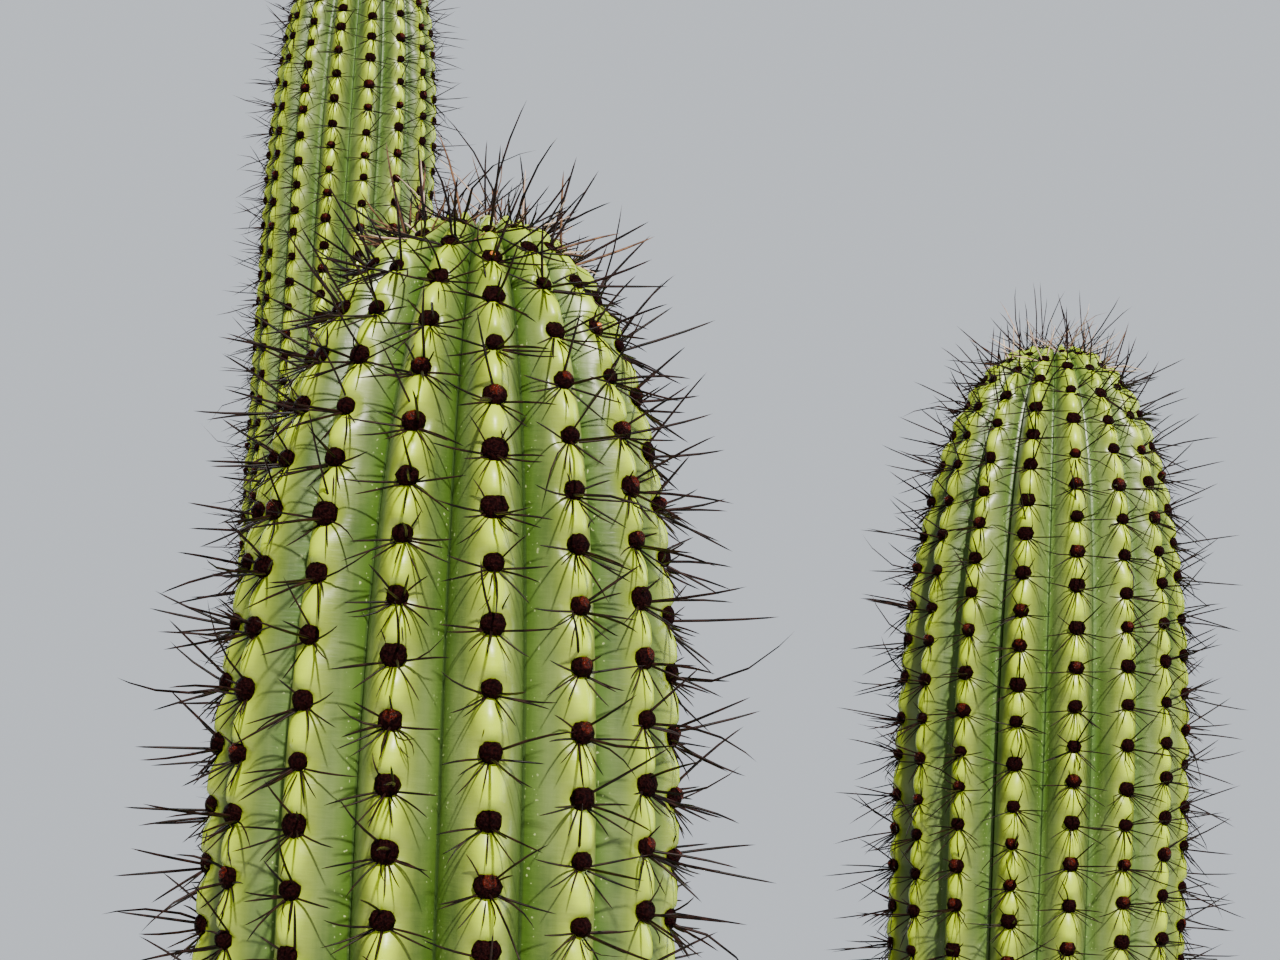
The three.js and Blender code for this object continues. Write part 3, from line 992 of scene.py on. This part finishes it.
# %% Fill every arm
FIRST_SEED = 100
for arm in ARMS:
    draw = np.random.default_rng(FIRST_SEED + ARMS.index(arm))
    group = arm.name if arm.name in STRETCHES else "other"
    begin = 0.0
    for end, look in STRETCHES.get(arm.name, [(WHOLE, FAR)]):
        pads = find_pads(arm, begin, end)
        begin = end
        old = OUTLINES[arm.name].length - pads.gone < OLD_FROM
        set_pads(group, pads, look, old, draw)
        set_spines(group, arm, pads, look, old, draw)
print("heaps of pads and spines:", len(heaps))

# %% [markdown]
# All the domes or spines of one tone are now joined into one piece for each near arm, and one for all the
# others. A heap of more than 190,000 triangles is cut into several pieces. A piece may have 200,000
# triangles at most.

# %% Join them into pieces
MOST_TRIANGLES = 190_000


def join(parts):
    """The points and faces of some parts as one mesh's."""
    shifts = np.cumsum([0] + [len(points) for points, _ in parts])
    faces = [[rows + shift for rows in part] for (_, part), shift in zip(parts, shifts)]
    return np.concatenate([points for points, _ in parts]), [np.concatenate(rows) for rows in zip(*faces)]


for (group, kind, tone), parts in heaps.items():
    batches, load = [[]], 0
    for part in parts:
        weight = 2 * len(part[1][0]) + len(part[1][1])
        if batches[-1] and load + weight > MOST_TRIANGLES:
            batches.append([])
            load = 0
        batches[-1].append(part)
        load += weight
    for index, batch in enumerate(batches):
        ending = f"_{index + 1}" if len(batches) > 1 else ""
        new_piece(f"{group}_{tone}_{kind}{ending}", *join(batch), FINISHES[kind, tone].material, kind)

# %% [markdown]
# ## The trunk
# The trunk is a low stump of grey-brown cork that flares into the ground, with a collar of wood round
# the foot of each arm. Modelled face by face the collars would be laborious, so the stump and a short
# tube for each arm are joined by a voxel remesh and smoothed, which fills the corners between them the
# way growing wood does. Cracks and plates are then pressed in with noise.

# %% Stack the stump and the collars
TRUNK_PROFILE = [
    (0.222, 0), (0.202, 0.026), (0.188, 0.080), (0.184, 0.140),
    (0.172, 0.195), (0.142, 0.236), (0.078, 0.258),
]
TRUNK_TOP = 0.262
LOBES, BULGES, BULGE_TURN = 9, 4, 1
LOBE_SHARE = 0.05
TRUNK_SIDES = 72
# A collar is a little wider than the arm at the root and narrower than it at the far end.
COLLAR_LENGTH, COLLAR_SIDES, COLLAR_ROWS = 0.20, 24, 14
COLLAR_WIDTH, COLLAR_LOSS, COLLAR_EVEN = 1.10, 0.34, 0.04


def ring_tube(rings, first_middle, last_middle):
    """A closed tube over a stack of rings, as points and lists of corners."""
    points, (bands, cap) = stacks(rings[None], last_middle[None])
    here, after = neighbours(rings.shape[1])
    start = np.stack([np.zeros_like(here), 1 + after, 1 + here], 1)
    return np.concatenate([first_middle[None], points]), [start, bands + 1, cap + 1]


turns = circle(TRUNK_SIDES)
swell = 1 + LOBE_SHARE * (np.cos(LOBES * turns) + np.cos(BULGES * turns + BULGE_TURN) / 2)
stump = np.array([
    [[radius * s * math.cos(t), radius * s * math.sin(t), height] for s, t in zip(swell, turns)]
    for radius, height in TRUNK_PROFILE
])
tubes = [ring_tube(stump, np.zeros(3), np.array([0, 0, TRUNK_TOP]))]
for arm in ARMS:
    line, outline = LINES[arm.name], OUTLINES[arm.name]
    up_from_root = np.linspace(0, COLLAR_LENGTH, COLLAR_ROWS)
    below = line.length - up_from_root
    _, radius, _, _ = outline.at(outline.length - up_from_root)
    collar = radius * (COLLAR_WIDTH - COLLAR_LOSS * smooth_ramp(up_from_root, COLLAR_EVEN, COLLAR_LENGTH))
    along, outward, across = line.directions(below)
    ray = swing(outward[:, None], across[:, None], circle(COLLAR_SIDES))
    middle = line.point(below)
    tubes.append(ring_tube(middle[:, None] + ray * collar[:, None, None], middle[0], middle[-1]))

points, faces = [], []
for tube_points, tube_faces in tubes:
    for rows in tube_faces:
        faces += (rows + len(points)).tolist()
    points += tube_points.tolist()
print("points of the stump and the collars:", len(points))

# %% Grow them together
VOXEL = 0.0072
SOFTEN, SOFTEN_TIMES = 0.5, 14

rough = bpy.data.meshes.new("trunk_rough")
rough.from_pydata(points, [], faces)
trunk = add_object("trunk_bark", rough)
remesh = trunk.modifiers.new("join", "REMESH")
remesh.mode = "VOXEL"
remesh.voxel_size = VOXEL
soften = trunk.modifiers.new("soften", "SMOOTH")
soften.factor = SOFTEN
soften.iterations = SOFTEN_TIMES
graph = bpy.context.evaluated_depsgraph_get()
trunk.data = bpy.data.meshes.new_from_object(trunk.evaluated_get(graph))
trunk.modifiers.clear()
print("trunk points:", len(trunk.data.vertices))

# %% Press cracks and plates into the bark
# A pattern has so many features per metre along each axis, a shift along X, and so many finer octaves,
# which fade.
Pattern = collections.namedtuple("Pattern", "along_x along_y along_z shift fade octaves")
FURROWS = Pattern(26, 26, 7, 0, 0.8, 3)
SPLITS = Pattern(14, 14, 30, 7, 0.8, 2)
LUMPINESS = Pattern(16, 16, 16, 0, 0.9, 4)
GRAIN = Pattern(90, 90, 90, 0, 0.8, 3)
OCTAVE_STEP = 2.0
CRACK_DEPTH, LUMP_DEPTH, GRAIN_DEPTH = 0.0042, 0.0036, 0.0012
FURROW_NARROW, SPLIT_NARROW = 5.5, 9.0  # the higher, the narrower
SPLIT_DEPTH = 0.7  # as a share of a furrow's


def bark_noise(kind, x, y, z):
    place = x * kind.along_x + kind.shift, y * kind.along_y, z * kind.along_z
    return noise.fractal(place, kind.fade, OCTAVE_STEP, kind.octaves)


def press(mesh):
    """Pushes cracks in and plates out, and keeps at each point how far into a crack it is."""
    places = np.empty(len(mesh.vertices) * 3, np.float32)
    mesh.vertices.foreach_get("co", places)
    normals = np.empty(len(places), np.float32)
    mesh.vertex_normals.foreach_get("vector", normals)
    places, normals = places.reshape(-1, 3), normals.reshape(-1, 3)
    pushes, cracks = [], []
    for point in places.tolist():
        furrow = 1 - abs(bark_noise(FURROWS, *point)) * FURROW_NARROW
        split = SPLIT_DEPTH - abs(bark_noise(SPLITS, *point)) * SPLIT_NARROW
        cracks.append(max(0.0, furrow, split))
        lumps = LUMP_DEPTH * bark_noise(LUMPINESS, *point) + GRAIN_DEPTH * bark_noise(GRAIN, *point)
        pushes.append(lumps - CRACK_DEPTH * cracks[-1])
    places += normals * np.array(pushes, np.float32)[:, None]
    places[:, 2] = np.maximum(places[:, 2], 0)
    mesh.vertices.foreach_set("co", places.ravel())
    mesh.update()
    field = mesh.attributes.new("crack", "FLOAT", "POINT")
    field.data.foreach_set("value", np.array(cracks, np.float32))
    print("points of the trunk in a crack:", round(np.count_nonzero(cracks) / len(cracks), 2), "of all")


press(trunk.data)

# %% Mix the bark
trunk.data.polygons.foreach_set("use_smooth", np.ones(len(trunk.data.polygons), bool))
bark = Finish("cork_bark")
crack, patch, grit = bark.kept("crack"), bark.cloud(24.0), bark.cloud(260.0)
brown = patch.ramp(0.3, 0.7).blend(srgb(108, 92, 72), srgb(152, 138, 114))
brown = grit.ramp(0.5, 0.75, 0.0, 0.5).blend(brown, srgb(176, 164, 142))
bark.set(
    Base_Color=crack.ramp(0.25, 0.95, 0.0, 0.85).blend(brown, srgb(54, 42, 32)),
    Roughness=grit.ramp(0.3, 0.7, 0.82, 0.95),
    Normal=bark.bump(grit + patch, 0.0015, 0.8),
)
trunk.data.materials.clear()
trunk.data.materials.append(bark.material)
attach(trunk, "root")
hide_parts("trunk")
bark.count()

# %% [markdown]
# ## Floor and light
# The floor is a plain pale disc. The main light comes from above the camera and a little to its right,
# and is small enough to draw the spines' shadows on the skin. A pale even sky fills in, dimmer than it
# looks behind the plant. A wide cool light from the right draws the satin sheen along the flanks on
# that side, and another like it from behind keeps the back of the plant readable.

# %% Lay the floor
FLOOR_RADIUS, FLOOR_SIDES = 22.0, 96
FLOOR_GREY = (0.72, 0.71, 0.69, 1)
floor_mesh = bpy.data.meshes.new("floor")
rim = [(FLOOR_RADIUS * math.cos(turn), FLOOR_RADIUS * math.sin(turn), 0) for turn in circle(FLOOR_SIDES)]
floor_mesh.from_pydata(rim, [], [tuple(range(FLOOR_SIDES))])
floor_mesh.materials.append(Finish("pale_floor", Base_Color=FLOOR_GREY, Roughness=0.8).material)
add_object("floor", floor_mesh)
print("floor:", 2 * FLOOR_RADIUS, "m across")

# %% Light the sky
SKY_SEEN, SKY_LIGHT = 0.85, 0.27
PALE_SKY, BLUE_SKY = (0.80, 0.85, 0.92, 1), (0.74, 0.82, 0.95, 1)
world = bpy.data.worlds.new("studio")
bpy.context.scene.world = world
world.use_nodes = True
sky = world.node_tree.nodes["Background"]
start = Wire(world.node_tree)
seen = start.node("ShaderNodeLightPath")  # its first output is 1 where the camera sees the sky itself
start.feed(sky.inputs["Color"], seen.blend(BLUE_SKY, PALE_SKY))
start.feed(sky.inputs["Strength"], seen * (SKY_SEEN - SKY_LIGHT) + SKY_LIGHT)
print("sky, as seen and as light:", SKY_SEEN, SKY_LIGHT)

# %% Set the lamps
Lamp = collections.namedtuple("Lamp", "name comes_from energy angle color")
LAMPS = [
    Lamp("sun", (0.152, -0.715, 0.682), 9.8, 2.2, (1.0, 0.96, 0.86)),
    Lamp("side", (0.95, 0.25, 0.35), 2.3, 40, (0.86, 0.93, 1.0)),
    Lamp("back", (-0.30, 0.88, 0.36), 1.1, 40, (0.90, 0.95, 1.0)),
]
for lamp in LAMPS:
    light = bpy.data.lights.new(lamp.name, "SUN")
    light.energy, light.angle, light.color = lamp.energy, math.radians(lamp.angle), lamp.color
    holder = add_object(lamp.name, light)
    holder.matrix_world = Vector(lamp.comes_from).to_track_quat("Z", "Y").to_matrix().to_4x4()
print("lights:", ", ".join(lamp.name for lamp in LAMPS))
